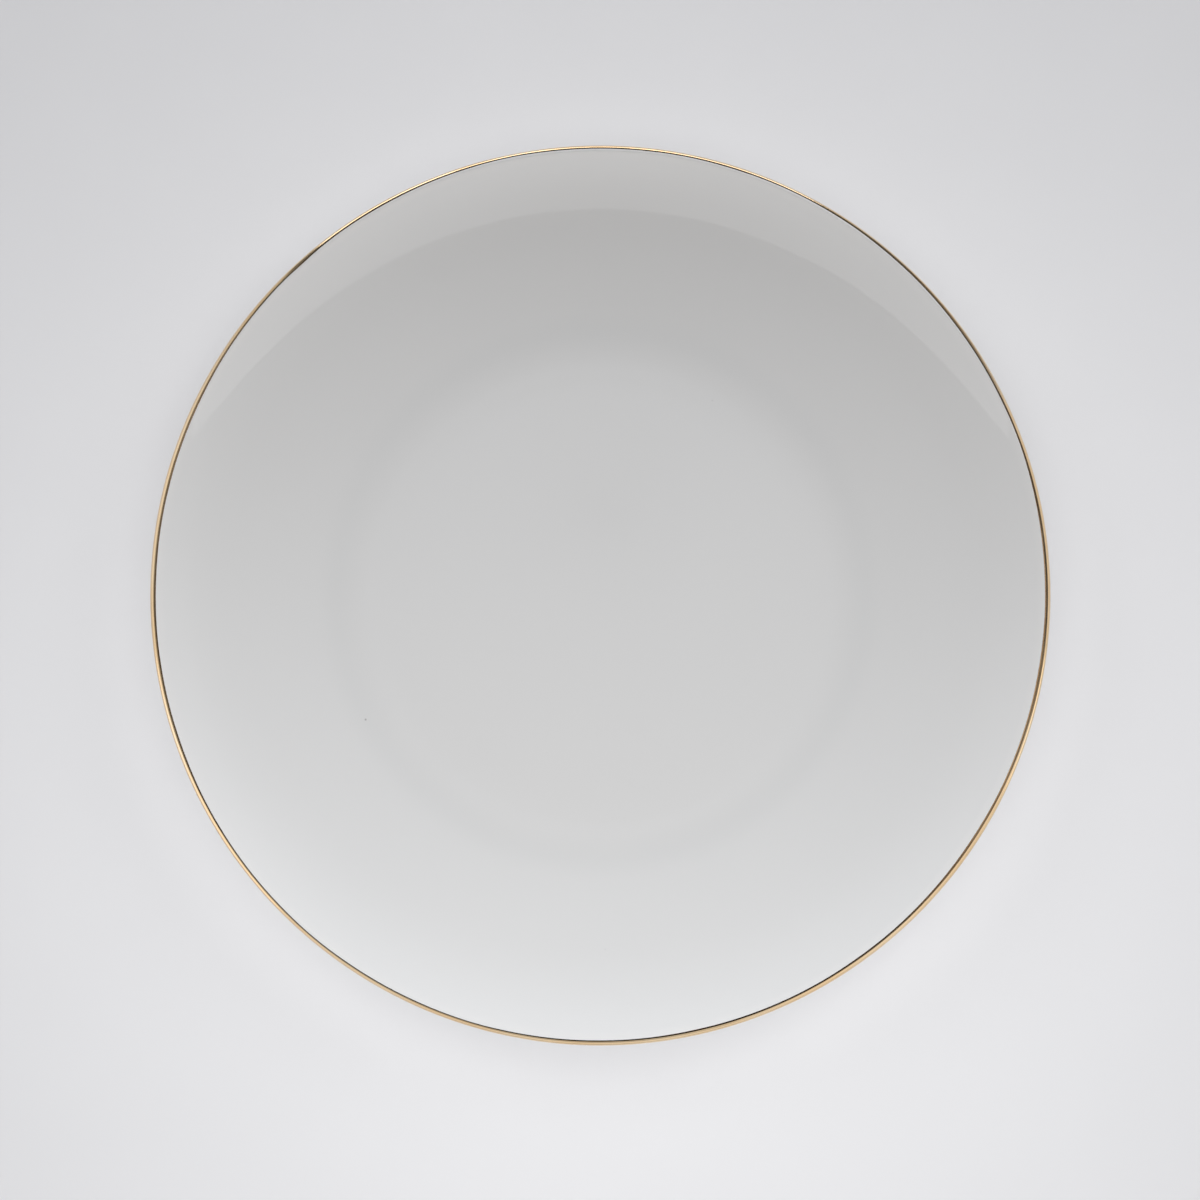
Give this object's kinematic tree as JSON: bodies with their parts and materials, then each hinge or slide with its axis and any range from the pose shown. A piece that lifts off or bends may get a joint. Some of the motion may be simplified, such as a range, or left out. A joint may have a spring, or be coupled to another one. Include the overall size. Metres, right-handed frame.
{
  "type": "dinner plate",
  "caption": "Round coupe dinner plate in glazed white bone china: a level well, a wall that curves up to a gilded half-round lip, and a low bare foot ring.",
  "frame": {"origin": "centre of the circle that the foot ring stands on, at the height of the table", "axes": "+Z is the axis that the plate is turned about, from the foot towards the open face; X and Y lie in the table, and the plate looks the same from every side"},
  "size_m": [0.27, 0.27, 0.0231],
  "materials": {
    "bare_china": "matte",
    "glaze": "polished",
    "burnished_gold": "polished",
    "stamp_ink": "satin"
  },
  "bodies": {
    "root": {"china_body": "bare_china", "outer_glaze": "glaze", "recess_glaze": "glaze", "gilded_lip": "burnished_gold", "stamp_ring": "stamp_ink", "stamp_dot": "stamp_ink"}
  },
  "joints": []
}
